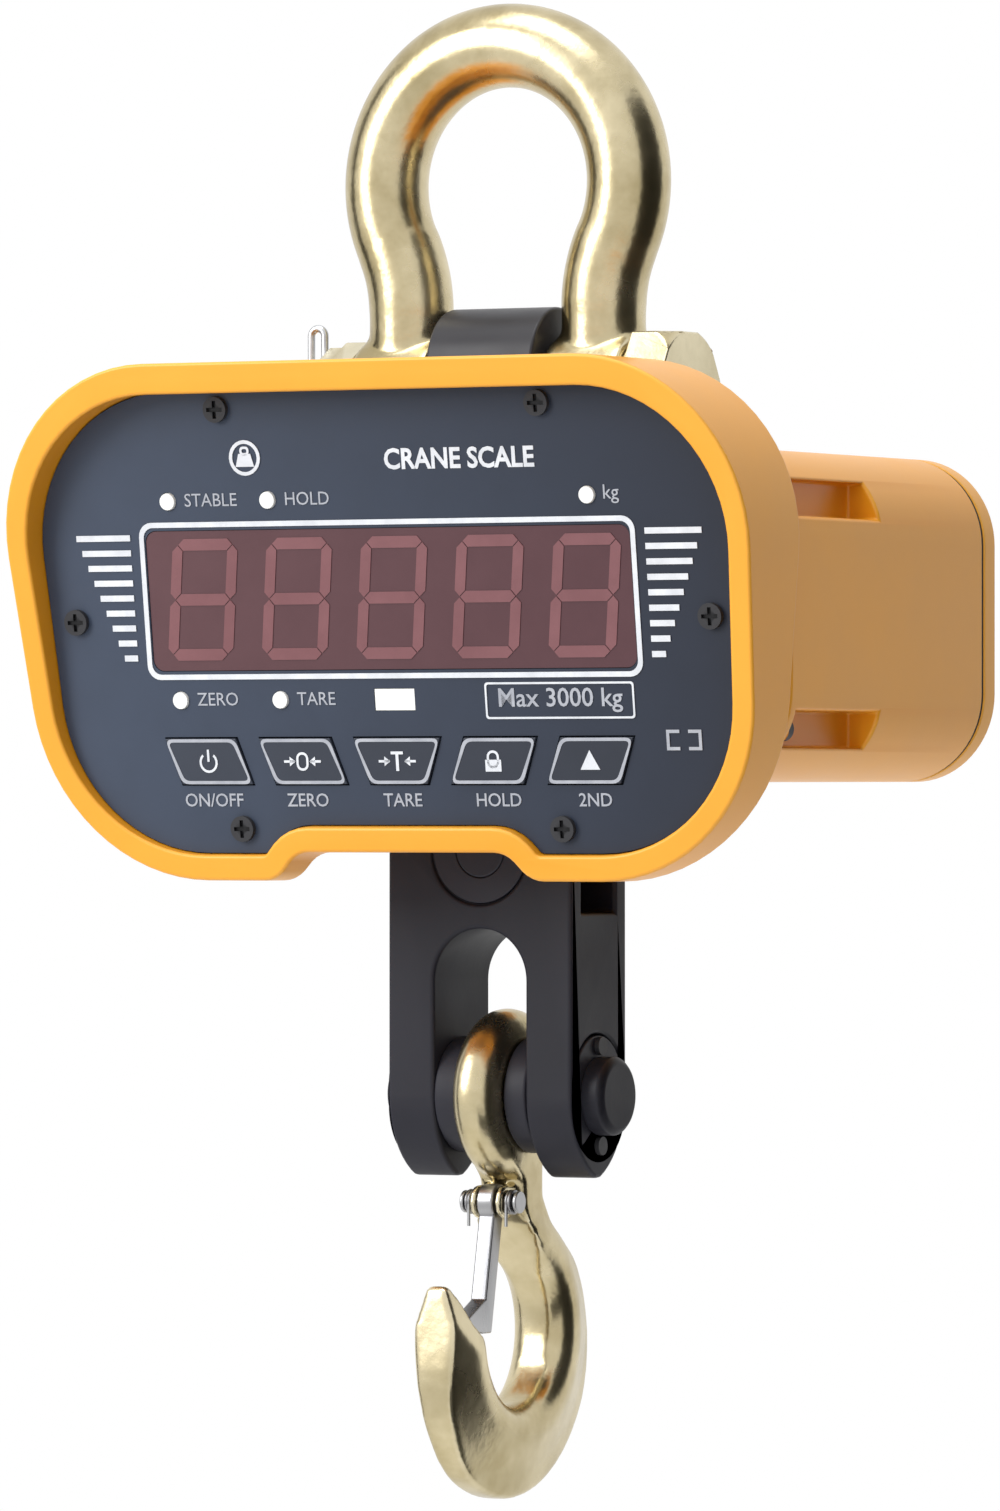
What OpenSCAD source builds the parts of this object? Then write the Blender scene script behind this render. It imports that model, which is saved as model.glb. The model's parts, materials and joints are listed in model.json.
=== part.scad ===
/* [Shackle] */
// Thickness of the bow's round bar
bar_d = 21; // [18:0.5:24]
// Widest gap inside the bow
bow_gap = 48; // [44:1:60]
// Gap between the two ears
jaw = 33; // [30:0.5:40]
// Crown's inside down to the bolt's axis
bow_drop = 78; // [72:0.2:95]
// Diameter of the two ears
ear_d = 32; // [30:0.5:38]
// Bolt shank diameter
bolt_d = 20; // [16:0.1:22]
// Across the flats of the bolt head
head_af = 32; // [28:1:36]
// Thickness of the bolt head
head_h = 12; // [9:0.5:14]
// Across the flats of the nut
nut_af = 27; // [25:1:32]
// Thickness of the nut
nut_h = 10; // [7:0.5:12]

/* [Load cell] */
// Thickness of the load cell, front to back
cell_t = 30; // [25:0.5:32]
// Bolt axis up to the cell's rounded top
cell_over = 23; // [20:0.5:26]
// Bolt axis down to the link pin's axis
link_drop = 112; // [108:1:130]
// Thickness of the lower lug
lug_t = 16.8; // [14:0.2:19]
// Radius of the lower lug's end
lug_r = 13; // [12:0.5:14]
// Link pin diameter
link_pin_d = 16; // [12:0.5:16]

/* [Front housing] */
// Width of the front housing
front_w = 208; // [190:0.4:250]
// Height of the front housing above the panel's centre
front_up = 58; // [54:1:66]
// Depth of the front housing below the panel's centre
front_down = 69; // [66:1:76]
// Radius of the two upper corners
top_r = 44; // [36:1:50]
// Radius of the two lower corners
low_r = 46; // [36:1:50]
// Width of the notch in the bottom edge
notch_w = 58; // [50:1:70]
// Height of that notch
notch_h = 7; // [5:0.5:10]
// Load axis forward to the panel's centre
face_y = 60; // [56:1:72]
// Bolt axis down to the panel's centre
face_drop = 50.5; // [48:0.5:60]
// Forward tilt of the panel
face_tilt = 7.5; // [4:0.5:9]
// Forward tilt of the rim, deeper at its top
rim_tilt = 11; // [9:0.5:12]
// Width of the rim round the panel
rim = 6; // [5:0.5:7]
// How far the rim stands out at the panel's centre
rim_depth = 6.5; // [5:0.5:9]

/* [Rear housing] */
// Width of the rear housing
rear_w = 202; // [180:1:206]
// Height of the rear housing
rear_h = 81; // [76:1:92]
// Radius of its four corners
rear_r = 22; // [18:1:26]
// Load axis back to the rear face
rear_y = 70; // [66:1:84]
// Load axis forward to the joint between the housings
joint_y = 42; // [38:1:44]
// Bolt axis down to the rear housing's middle
rear_drop = 54.5; // [54:0.5:62]
// Casting wall
wall = 3.5; // [3:0.25:4]

/* [Display] */
// Thickness of the front panel
panel_t = 2.5; // [2:0.25:3]
// Width of the display window
window_w = 136; // [120:1:140]
// Height of the display window
window_h = 35; // [30:1:38]
// Pitch of the five digits
digit_pitch = 26.8; // [24:0.2:27]
// Width of a key
key_w = 20.2; // [16:0.2:22]
// Height of a key
key_h = 11.4; // [9:0.2:12]
// Sideways lean of a key from top to bottom
key_lean = 4.2; // [2:0.2:5]
// Pitch of the five keys
key_pitch = 26.8; // [25:0.2:28]
// Travel of a key
key_travel = 0.6; // [0.4:0.1:0.8]

/* [Battery] */
// Width of the battery pack
battery_w = 100; // [80:1:110]
// Depth of the battery pack
battery_d = 40; // [32:1:42]
// Height of the battery pack
battery_h = 50; // [40:1:51]

/* [Hook block] */
// Width of the hook block
block_w = 52; // [48:1:58]
// Thickness of the hook block
block_t = 29; // [27:0.5:33]
// Width of the slot that takes the hook's eye
fork_gap = 26; // [24:0.5:28]
// Link pin down to the hook pin
hook_drop = 61; // [58:1:70]
// Length of the block below the hook pin
block_tail = 21; // [19:0.5:24]
// Hook pin diameter
hook_pin_d = 16; // [13:0.5:18]

/* [Hook] */
// Radius of the hook's eye
eye_r = 21.5; // [19:0.5:22.5]
// Thickness of the hook's eye
eye_t = 13; // [11.5:0.5:16]
// Radius of the bowl
bowl_r = 18.5; // [16:0.5:20]
// Radius of the hook's outside
outer_r = 36.5; // [34:0.5:38]
// Greatest thickness of the hook
hook_t = 17; // [14:0.5:18]
// Hook pin down to the bowl's centre
bowl_drop = 59; // [58:0.5:62]
// Diameter of the latch pin
latch_pin_d = 4; // [3:0.5:5]
// Width of the latch
latch_w = 4.4; // [3.6:0.2:5]

/* [Hidden] */
$fn = 48;

// Clearances, one for each kind of fit
running = 0.05;      // pins that something turns on, on the radius
slip = 0.1;          // pins and screws that stay put, on the radius
side_gap = 1.5;      // load cell between the ears, each side
panel_gap = 0.3;     // panel inside the rim
key_gap = 0.35;      // key inside its hole
seat = 0.02;         // parts that lie face to face
eps = 1;             // how far a cut runs past a face

// Heights: the crown's inside is zero
bolt_z = -bow_drop;
link_z = bolt_z - link_drop;
hook_z = link_z - hook_drop;
face_z = bolt_z - face_drop;
rear_z = bolt_z - rear_drop;
rear_top = rear_z + rear_h / 2;
rear_low = rear_z - rear_h / 2;

// Shackle
bow_r = (bow_gap + bar_d) / 2;
bow_z = bar_d / 2 - bow_r;
ear_t = bar_d + 0.8;
neck_d = bar_d + 0.3;
leg_x = jaw / 2 + ear_t / 2;
neck_r = 38.5;
neck_a = acos((leg_x + neck_r) / (bow_r + neck_r));
neck_z = bow_z - (bow_r + neck_r) * sin(neck_a);
ear_x = jaw / 2 + ear_t;
collar_h = 1.2;
head_x = ear_x + 0.4 + collar_h;
nut_x = ear_x + 1.5;
thread_d = bolt_d - 2.5;
cotter_d = 4;
cotter_x = nut_x + nut_h + cotter_d / 2 + 2.6;
bolt_end = cotter_x + 6;

// Load cell
cell_w = jaw - 2 * side_gap;
cell_low = rear_low - 1;
lug_w = 2 * lug_r;
gauge_d = 16;
gauge_depth = 9;
gauge_z = rear_z;

// Housings
well_x = bolt_end + 4;
well_y = ear_d / 2 + 10.5;
well_z = bolt_z - ear_d / 2 - 10.5;
well_r = 4;
seal_gap = 2.5;
cover_t = 6;
cover_web = 5;
gasket_t = 1;
housing_back = rear_y - cover_t - gasket_t;
housing_front = -joint_y + gasket_t;
pocket_h = 9;
pocket_d = 9.5;
pocket_z = rear_h / 2 - 8 - pocket_h / 2;
pocket_end = 7;
pocket_screw_x = rear_w / 2 - 6.2;
cover_screw = rear_r - (rear_r - 5.7) * cos(45);
cover_x = rear_w / 2 - cover_screw;
cover_z = rear_h / 2 - cover_screw;
screw_d = 5;
boss_d = 11;

// Panel, in its own tilted frame: x, depth behind its face, height above its centre
side_a = -4;
notch_r = 8;
ledge_y = panel_t + gasket_t;
ledge_t = 6;
hole_u = 45;
side_hole_u = front_w / 2 - 15;
top_hole_v = front_up - rim - 4.7;
low_hole_v = -(front_down - rim - 6.4);
side_hole_v = -5;
panel_screw_d = 4;
lamp_d = 4.4;
lamp_v = 24.7;
lamps = [[-60.7, lamp_v], [-32.2, lamp_v], [57, lamp_v], [-60.7, -lamp_v], [-32.2, -lamp_v]];
receiver_v = -24.8;
receiver_w = 11.4;
receiver_h = 5.6;
key_v = -39.9;
digit_w = 24;
digit_h = 34;
digit_y = 5;
digit_t = 8;
board_y = digit_y + digit_t;
board_t = 1.6;
board_w = 154;
board_h = 68;
board_v = 3;
pillar_x = 70;
pillar_low = -27;
pillar_high = 32;
key_board_y = 7;
key_board_t = 1;
key_pillar_x = 2 * key_pitch + key_w / 2 + key_lean / 2 + 5.2;
key_t = 2.6;
key_flange = 1.4;
key_rise = 0.6;
stem_d = 4;
stem_end = 4.7;

// Chassis and main board
chassis_t = 2;
chassis_y = -cell_t / 2 - chassis_t;
chassis_w = rear_w - 32;
chassis_h = 46;
main_w = 130;
main_h = 46;
standoff_l = 7;
main_y = chassis_y - standoff_l - board_t;
main_hole_x = main_w / 2 - 5;
main_hole_z = main_h / 2 - 5;
ear_hole_x = chassis_w / 2 - 6;
ear_hole_z = 15;
cell_hole_x = 9;
cell_hole_z = 20;

// Battery
battery_y = housing_back - 3 - battery_d;
door_drop = 6;
battery_z = rear_z - door_drop;
tray_t = 1.5;
door_w = battery_w + 12;
door_h = battery_h + 10;
lead_x = battery_w / 2 + 6;
lead_z = rear_z + 8;
cable_x = cell_w / 2 + 11;
door_t = 3;
socket_x = 76;
socket_d = 12;

// Hook block
upper_gap = lug_t + 0.6;
upper_floor = link_z - lug_r - 2.6;
fork_r = fork_gap / 2;
fork_top = hook_z + 28.5;
counter_d = 27;
counter_t = 1.8;
keeper_w = 25;
keeper_h = 30;
keeper_t = 3;
keeper_gap = 0.4;
keeper_hole = 12.4;
pin_head_d = 19.6;
ring_t = 1.4;
spacer_d = 29;
spacer_gap = 0.3;

// Hook, in its own plane: front to back, and height above the hook pin
bowl_c = [-3.5, -bowl_drop];
outer_c = [-1.2, -bowl_drop - 8];
latch_c = [-7.5, -26.5];
latch_len = 32;
lug_gap = 0.3;
lug_side = 2.2;

function arc(c, r, a0, a1, n) =
  [for (i = [0:n]) c + r * [cos(a0 + (a1 - a0) * i / n), sin(a0 + (a1 - a0) * i / n)]];
function flipped(pts) = [for (i = [len(pts) - 1:-1:0]) [-pts[i][0], pts[i][1]]];

// Right half of the front outline, from the notch round to the top, moved in by d
function front_half(d) = concat(
  arc([notch_w / 2 - notch_r * 0.4, -front_down + notch_h - notch_r], notch_r + d, 90, 45, 4),
  arc([notch_w / 2 + notch_h + notch_r * 0.4, -front_down + notch_r], notch_r - d, -135, -90, 4),
  arc([front_w / 2 - low_r - 2.6, -front_down + low_r], low_r - d, -90, side_a, 16),
  arc([front_w / 2 - top_r, front_up - top_r], top_r - d, side_a, 90, 16));
function front_outline(d) = concat(front_half(d), flipped(front_half(d)));

// The same without the notch, for the cavity
function cavity_half(d, lift) = concat(
  arc([front_w / 2 - low_r - 2.6, -front_down + low_r + lift], low_r - d, -90, side_a, 16),
  arc([front_w / 2 - top_r, front_up - top_r], top_r - d, side_a, 90, 16));
function cavity_outline(d, lift) = concat(cavity_half(d, lift), flipped(cavity_half(d, lift)));

// Upright slab between two depths from an outline in x and z
module slab(y0, y1) {
  translate([0, y1, 0]) rotate([90, 0, 0]) linear_extrude(y1 - y0) children();
}

module round_rect(w, h, r) {
  square([w - 2 * r, h], center = true);
  square([w, h - 2 * r], center = true);
  for (x = [-1, 1], y = [-1, 1]) translate([x * (w / 2 - r), y * (h / 2 - r)]) circle(r);
}

// Places things in the panel's tilted frame
module at_panel() {
  translate([0, -face_y, face_z]) rotate([face_tilt, 0, 0]) children();
}

module at_rear() {
  translate([0, 0, rear_z]) children();
}

// Cylinders along x and y between two stations
module bar_x(d, x0, x1) {
  translate([x0, 0, 0]) rotate([0, 90, 0]) cylinder(d = d, h = x1 - x0);
}

module bar_y(d, y0, y1) {
  translate([0, y1, 0]) rotate([90, 0, 0]) cylinder(d = d, h = y1 - y0);
}

module hex_x(af, x0, x1, turn) {
  translate([x0, 0, 0]) rotate([0, 90, 0]) rotate(turn) cylinder(d = af / cos(30), h = x1 - x0, $fn = 6);
}

module panel_holes() {
  for (x = [-hole_u, hole_u], v = [top_hole_v, low_hole_v]) translate([x, 0, v]) children();
  for (x = [-side_hole_u, side_hole_u]) translate([x, 0, side_hole_v]) children();
}

module corner_screws(x, z) {
  for (i = [-1, 1], k = [-1, 1]) translate([i * x, 0, k * z]) children();
}

// Pan-head screw pointing to +y from its head's seat at y = 0
module screw(d, l, head_d, head_h) {
  difference() {
    bar_y(head_d, -head_h, 0);
    bar_y(head_d * 0.45, -head_h - eps, -head_h * 0.4);
  }
  bar_y(d, 0, l);
}

// ---- Shackle ----

module bow_leg() {
  translate([leg_x + neck_r, 0, neck_z]) rotate([90, 0, 0])
    rotate([0, 0, 180 - neck_a]) rotate_extrude(angle = neck_a) translate([neck_r, 0]) circle(d = neck_d);
  translate([leg_x, 0, bolt_z]) cylinder(d = bar_d, h = neck_z - bolt_z + 0.3);
  translate([0, 0, bolt_z]) bar_x(ear_d, jaw / 2, ear_x);
}

module shackle_bow() color("#cdb981") {
  difference() {
    union() {
      translate([0, 0, bow_z]) rotate([90, 0, 0]) rotate([0, 0, -neck_a - 0.5])
        rotate_extrude(angle = 181 + 2 * neck_a) translate([bow_r, 0]) circle(d = bar_d);
      bow_leg();
      mirror([1, 0, 0]) bow_leg();
    }
    translate([0, 0, bolt_z]) bar_x(bolt_d + 2 * slip, -ear_x - eps, ear_x + eps);
    translate([-jaw / 2, -ear_d, bolt_z - ear_d]) cube([jaw, 2 * ear_d, ear_d + bar_d / 2 + 4]);
  }
}

module shackle_bolt() color("#bda66c") {
  translate([0, 0, bolt_z]) difference() {
    union() {
      bar_x(bolt_d, -ear_x - 0.5, ear_x + 0.4);
      bar_x(head_af - 2, ear_x + 0.4, head_x);
      intersection() {
        hex_x(head_af, head_x, head_x + head_h, 90);
        translate([head_x, 0, 0]) rotate([0, 90, 0])
          cylinder(d1 = head_af * 1.34, d2 = head_af * 1.02, h = head_h);
      }
      bar_x(thread_d, -bolt_end, -ear_x);
    }
    translate([-cotter_x, 0, -bolt_d]) cylinder(d = cotter_d + 2 * slip, h = 2 * bolt_d);
  }
}

module shackle_nut() color("#b8a878") {
  translate([0, 0, bolt_z]) difference() {
    hex_x(nut_af, -nut_x - nut_h, -nut_x, 0);
    bar_x(thread_d + 2 * slip, -nut_x - nut_h - eps, -nut_x + eps);
    for (a = [0:60:120]) rotate([a, 0, 0])
      translate([-nut_x - nut_h - eps, -2.2, -nut_af]) cube([3.4 + eps, 4.4, 2 * nut_af]);
  }
}

// Split pin: a shank down through the bolt, a tall eye above it and one leg curled over
module shackle_split_pin() color("#8f9094") {
  wire = 1.9;
  eye_x = 1.95;
  eye_z = 17.2;
  translate([-cotter_x, 0, bolt_z]) {
    translate([0, 0, -thread_d / 2 - 4]) cylinder(d = cotter_d, h = thread_d + 6);
    for (s = [-1, 1]) translate([s * eye_x, 0, thread_d / 2]) cylinder(d = wire, h = eye_z - thread_d / 2, $fn = 24);
    translate([0, 0, eye_z]) rotate([90, 0, 0]) rotate_extrude(angle = 180) translate([eye_x, 0]) circle(d = wire, $fn = 24);
    translate([eye_x + 1.9, 0, thread_d / 2 + 0.6]) rotate([90, 0, 0])
      rotate_extrude(angle = 180) translate([1.9, 0]) circle(d = wire, $fn = 24);
  }
}

// ---- Load cell and chassis ----

module load_cell() color("#26262a") {
  difference() {
    union() {
      translate([0, 0, bolt_z + cell_over - cell_t / 2]) bar_x(cell_t, -cell_w / 2, cell_w / 2);
      translate([-cell_w / 2, -cell_t / 2, cell_low]) cube([cell_w, cell_t, bolt_z + cell_over - cell_t / 2 - cell_low]);
      translate([-lug_w / 2, -lug_t / 2, link_z]) cube([lug_w, lug_t, cell_low - link_z + eps]);
      translate([0, 0, link_z]) bar_y(lug_w, -lug_t / 2, lug_t / 2);
    }
    translate([0, 0, bolt_z]) bar_x(bolt_d + 2 * running, -cell_w, cell_w);
    translate([0, 0, link_z]) bar_y(link_pin_d + 2 * running, -cell_t, cell_t);
    for (s = [-1, 1]) translate([0, 0, gauge_z])
      bar_x(gauge_d, min(s * cell_w, s * (cell_w / 2 - gauge_depth)), max(s * cell_w, s * (cell_w / 2 - gauge_depth)));
    at_rear() corner_screws(cell_hole_x, cell_hole_z) bar_y(4, -cell_t, -cell_t / 2 + 9);
  }
}

module gauge_covers() color("#9c9fa3") {
  for (s = [-1, 1]) translate([0, 0, gauge_z])
    bar_x(gauge_d - 2 * slip, min(s * (cell_w / 2 - 2), s * (cell_w / 2 - 0.4)), max(s * (cell_w / 2 - 2), s * (cell_w / 2 - 0.4)));
}

module strain_gauges() color("#c98b3c") {
  for (s = [-1, 1]) translate([s * (cell_w / 2 - gauge_depth + 0.3), 0, gauge_z])
    rotate([45, 0, 0]) cube([0.5, 8, 4], center = true);
}

module cell_seal(z0, w, t) {
  translate([0, 0, z0]) difference() {
    union() {
      translate([-(w / 2 + seal_gap - 0.3), -(t / 2 + seal_gap - 0.3), 0])
        cube([w + 2 * seal_gap - 0.6, t + 2 * seal_gap - 0.6, wall + 1]);
      translate([-(w / 2 + seal_gap + 3), -(t / 2 + seal_gap + 3), wall + seat])
        cube([w + 2 * seal_gap + 6, t + 2 * seal_gap + 6, 1.6]);
    }
    translate([-w / 2 - seat, -t / 2 - seat, -eps]) cube([w + 2 * seat, t + 2 * seat, wall + 5]);
  }
}

module top_seal() color("#2a2a2a") {
  cell_seal(well_z - wall, cell_w, cell_t);
}

module bottom_seal() color("#2a2a2a") {
  cell_seal(rear_low, cell_w, cell_t);
}

module chassis_plate() color("#9aa0a6") {
  at_rear() difference() {
    slab(chassis_y, chassis_y + chassis_t) square([chassis_w, chassis_h], center = true);
    corner_screws(cell_hole_x, cell_hole_z) bar_y(4.2, -cell_t, 0);
    corner_screws(ear_hole_x, ear_hole_z) bar_y(4.2, -cell_t, 0);
    corner_screws(main_hole_x, main_hole_z) bar_y(3.2, -cell_t, 0);
    translate([cable_x, 0, 0]) bar_y(6, -cell_t, 0);
    translate([lead_x + 1.3, 0, lead_z - rear_z]) bar_y(7, -cell_t, 0);
  }
}

module chassis_screws() color("#6d7075") {
  at_rear() corner_screws(cell_hole_x, cell_hole_z) translate([0, chassis_y, 0]) screw(3.8, 9, 7, 3);
  at_rear() corner_screws(ear_hole_x, ear_hole_z) translate([0, chassis_y, 0]) screw(3.8, 9, 7, 3);
}

// ---- Housings ----

module rim_cut() {
  translate([0, -face_y - rim_depth, face_z]) rotate([rim_tilt, 0, 0])
    translate([-front_w, -front_w, -front_w]) cube([2 * front_w, front_w, 2 * front_w]);
}

module rear_section(inset) {
  round_rect(rear_w - 2 * inset, rear_h - 2 * inset, rear_r - inset);
}

module front_housing() color("#f2a93b") {
  difference() {
    translate([0, 0, face_z]) slab(-face_y - front_w / 4, -joint_y) polygon(front_outline(0));
    rim_cut();
    at_panel() slab(-front_w / 4, ledge_y) polygon(front_outline(rim));
    at_panel() slab(0, ledge_y + ledge_t + eps) polygon(cavity_outline(rim + 12, 2));
    intersection() {
      translate([0, 0, face_z]) slab(-face_y, -joint_y - wall) polygon(cavity_outline(wall + 1, notch_h));
      at_panel() slab(ledge_y + ledge_t, joint_y) square(2 * front_w, center = true);
    }
    at_rear() slab(-joint_y - wall - eps, -joint_y + eps) rear_section(wall + 4.5);
    at_panel() panel_holes() bar_y(panel_screw_d - 0.6, 0, ledge_y + ledge_t - 1);
    at_rear() corner_screws(pocket_screw_x, pocket_z) bar_y(screw_d - 0.8, -joint_y - 9, 0);
  }
  intersection() {
    translate([0, 0, face_z]) slab(-face_y, 0) polygon(front_outline(1));
    at_rear() corner_screws(pocket_screw_x, pocket_z) difference() {
      bar_y(boss_d - 2, -joint_y - 9, -joint_y - wall + 0.5);
      bar_y(screw_d - 0.8, -joint_y - 9 - eps, 0);
    }
  }
}

module housing_gasket() color("#2b2b2b") {
  at_rear() slab(-joint_y + seat, housing_front - seat) difference() {
    rear_section(0.4);
    rear_section(wall + 4.5);
    for (i = [-1, 1], k = [-1, 1]) translate([i * pocket_screw_x, k * pocket_z]) circle(d = screw_d);
  }
}

module pocket(s, k, grow) {
  translate([s * rear_w / 2, 0, k * pocket_z])
    translate([-pocket_d - grow, housing_front + wall + 0.5, -pocket_h / 2 - grow])
      cube([2 * (pocket_d + grow), pocket_end - housing_front - wall - 0.5 + grow, pocket_h + 2 * grow]);
}

module well(grow) {
  slab(-well_y - grow, well_y + grow) translate([0, rear_top]) square([2 * (well_x + grow), 2 * (rear_top - well_z + grow)], center = true);
}

module rear_housing() color("#e39a2c") {
  difference() {
    at_rear() slab(housing_front, housing_back) rear_section(0);
    difference() {
      at_rear() slab(housing_front - eps, housing_back + eps) rear_section(wall);
      well(wall);
      at_rear() for (s = [-1, 1], k = [-1, 1]) pocket(s, k, wall);
      at_rear() corner_screws(cover_x, cover_z) bar_y(boss_d, housing_back - 14, housing_back);
      at_rear() for (s = [-1, 1], k = [-1, 1]) translate([s * ear_hole_x, 0, k * ear_hole_z]) {
        bar_y(boss_d - 2, chassis_y + chassis_t + seat, pocket_end + wall);
        translate([min(0, s * 30), chassis_y + chassis_t + seat, -2]) cube([30, 20, 4]);
      }
    }
    well(0);
    at_rear() for (s = [-1, 1], k = [-1, 1]) pocket(s, k, 0);
    translate([-cell_w / 2 - seal_gap, -cell_t / 2 - seal_gap, rear_low - eps]) cube([cell_w + 2 * seal_gap, cell_t + 2 * seal_gap, rear_h + 2]);
    at_rear() corner_screws(pocket_screw_x, pocket_z) bar_y(screw_d + 2 * slip, housing_front - eps, housing_front + wall + 2);
    at_rear() corner_screws(cover_x, cover_z) bar_y(screw_d - 0.8, housing_back - 12, housing_back + eps);
    at_rear() corner_screws(ear_hole_x, ear_hole_z) bar_y(4, chassis_y, chassis_y + chassis_t + 10);
  }
}

module housing_screws() color("#5d6064") {
  at_rear() corner_screws(pocket_screw_x, pocket_z) translate([0, housing_front + wall + 0.5, 0])
    rotate([0, 0, 180]) screw(screw_d - 1, 11, 6, 3.5);
}

module rear_cover() color("#e39a2c") {
  at_rear() difference() {
    slab(rear_y - cover_t, rear_y) rear_section(0);
    slab(rear_y - cover_t - eps, rear_y - cover_web) rear_section(wall + 7);
    translate([0, 0, -door_drop]) slab(rear_y - cover_t - eps, rear_y + eps) round_rect(door_w - 8, door_h - 8, 5);
    translate([0, 0, -door_drop]) slab(rear_y - door_t * 0.5, rear_y + eps) round_rect(door_w + 1, door_h + 1, 8);
    corner_screws(cover_x, cover_z) bar_y(screw_d + 2 * slip, rear_y - cover_t - eps, rear_y + eps);
    corner_screws(cover_x, cover_z) bar_y(9.4, rear_y - 3, rear_y + eps);
    translate([0, 0, -door_drop]) door_corners() bar_y(3.6, rear_y - cover_t - eps, rear_y + eps);
    translate([socket_x, 0, -10]) bar_y(socket_d + 2 * slip, rear_y - cover_t - eps, rear_y + eps);
  }
}

module cover_gasket() color("#2b2b2b") {
  at_rear() slab(housing_back + seat, rear_y - cover_t - seat) difference() {
    rear_section(0.4);
    rear_section(wall + 7);
    for (i = [-1, 1], k = [-1, 1]) translate([i * cover_x, k * cover_z]) circle(d = screw_d + 1);
  }
}

module cover_screws() color("#5d6064") {
  at_rear() corner_screws(cover_x, cover_z) translate([0, rear_y - 3, 0])
    rotate([0, 0, 180]) screw(screw_d - 1, 13, 9, 3);
}

module door_corners() {
  corner_screws(door_w / 2 - 4.2, door_h / 2 - 4.2) children();
}

module battery_door() color("#d9922a") {
  translate([0, 0, battery_z]) difference() {
    slab(rear_y - door_t * 0.5 + 0.6, rear_y + door_t * 0.5) round_rect(door_w, door_h, 7.5);
    door_corners() bar_y(4.2, rear_y - 5, rear_y + 5);
  }
}

module door_gasket() color("#2b2b2b") {
  translate([0, 0, battery_z]) slab(rear_y - door_t * 0.5 + seat, rear_y - door_t * 0.5 + 0.6 - seat) difference() {
    round_rect(door_w, door_h, 7.5);
    round_rect(door_w - 8, door_h - 8, 5);
    for (i = [-1, 1], k = [-1, 1]) translate([i * (door_w / 2 - 4.2), k * (door_h / 2 - 4.2)]) circle(d = 4.6);
  }
}

module door_screws() color("#5d6064") {
  translate([0, 0, battery_z]) door_corners() translate([0, rear_y + door_t * 0.5, 0])
    rotate([0, 0, 180]) screw(3.4, 7, 6.4, 2.2);
}

module charge_socket() color("#202022") {
  translate([socket_x, 0, rear_z - 10]) difference() {
    union() {
      bar_y(socket_d, rear_y - cover_t - 10, rear_y + 1);
      bar_y(socket_d + 4, rear_y + seat, rear_y + 2);
    }
    bar_y(6.5, rear_y - 10, rear_y + 2 + eps);
  }
  translate([socket_x, 0, rear_z - 10]) bar_y(2, rear_y - 12, rear_y - 1);
}

module socket_nut() color("#8c8f94") {
  translate([socket_x, 0, rear_z - 10]) difference() {
    translate([0, rear_y - cover_web - seat, 0]) rotate([90, 0, 0]) cylinder(d = 17, h = 2.4, $fn = 6);
    bar_y(socket_d + 2 * slip, 0, rear_y);
  }
}

// ---- Display ----

function key_outline(i, grow) =
  let (x = (i - 2) * key_pitch,
       l = i == 2 ? key_lean / 2 : (i < 2 ? key_lean / 2 : -key_lean / 2),
       r = i == 2 ? -key_lean / 2 : l,
       h = key_h / 2 + grow,
       w = key_w / 2 + grow)
  [[x - w - l, h], [x + w - r, h], [x + w + r, -h], [x - w + l, -h]];

module display_panel() color("#40464f") {
  at_panel() difference() {
    slab(0, panel_t) polygon(front_outline(rim + panel_gap));
    slab(-eps, panel_t + eps) round_rect(window_w, window_h, 3);
    panel_holes() bar_y(panel_screw_d + 2 * slip, -eps, panel_t + eps);
    for (p = lamps) translate([p[0], 0, p[1]]) bar_y(lamp_d + 2 * slip, -eps, panel_t + eps);
    slab(-eps, panel_t + eps) translate([0, receiver_v]) square([receiver_w, receiver_h], center = true);
    translate([0, 0, key_v]) for (i = [0:4]) slab(-eps, panel_t + eps) polygon(key_outline(i, key_gap));
  }
}

module panel_gasket() color("#2b2b2b") {
  at_panel() difference() {
    slab(panel_t + seat, ledge_y - seat) polygon(front_outline(rim + 2 * panel_gap));
    slab(0, ledge_y + eps) polygon(cavity_outline(rim + 11.5, 1.5));
    panel_holes() bar_y(panel_screw_d + 1, 0, ledge_y + eps);
  }
}

module panel_screws() color("#191a1c") {
  at_panel() panel_holes() difference() {
    union() {
      bar_y(6.4, -1.4, -seat);
      bar_y(panel_screw_d - 0.8, -seat, ledge_y + ledge_t - 2);
    }
    translate([-0.5, -1.4 - eps, -2.2]) cube([1, eps + 0.8, 4.4]);
    translate([-2.2, -1.4 - eps, -0.5]) cube([4.4, eps + 0.8, 1]);
  }
}

module display_window() color("#5c3438") {
  at_panel() {
    slab(0.2, panel_t + seat) round_rect(window_w - 0.3, window_h - 0.3, 2.85);
    slab(panel_t + seat, panel_t + 1.6) round_rect(window_w + 5, window_h + 4, 3);
  }
}

module receiver_window() color("#e9e9e4") {
  at_panel() translate([0, 0, receiver_v]) {
    slab(0.1, panel_t + seat) square([receiver_w - 0.3, receiver_h - 0.3], center = true);
    slab(panel_t + seat, panel_t + 1.5) square([receiver_w + 3, receiver_h + 1.6], center = true);
  }
}

module led_digits() color("#6a4a4d") {
  at_panel() for (i = [-2:2]) slab(digit_y, digit_y + digit_t)
    translate([1 + i * digit_pitch, 0]) square([digit_w, digit_h], center = true);
}

module indicator_leds() color("#f4f4f2") {
  at_panel() for (p = lamps) translate([p[0], 0, p[1]]) {
    bar_y(lamp_d, 0.2, board_y - seat);
    translate([0, 0.2, 0]) intersection() {
      sphere(d = lamp_d);
      bar_y(lamp_d, -0.8, 0.1);
    }
  }
}

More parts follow.
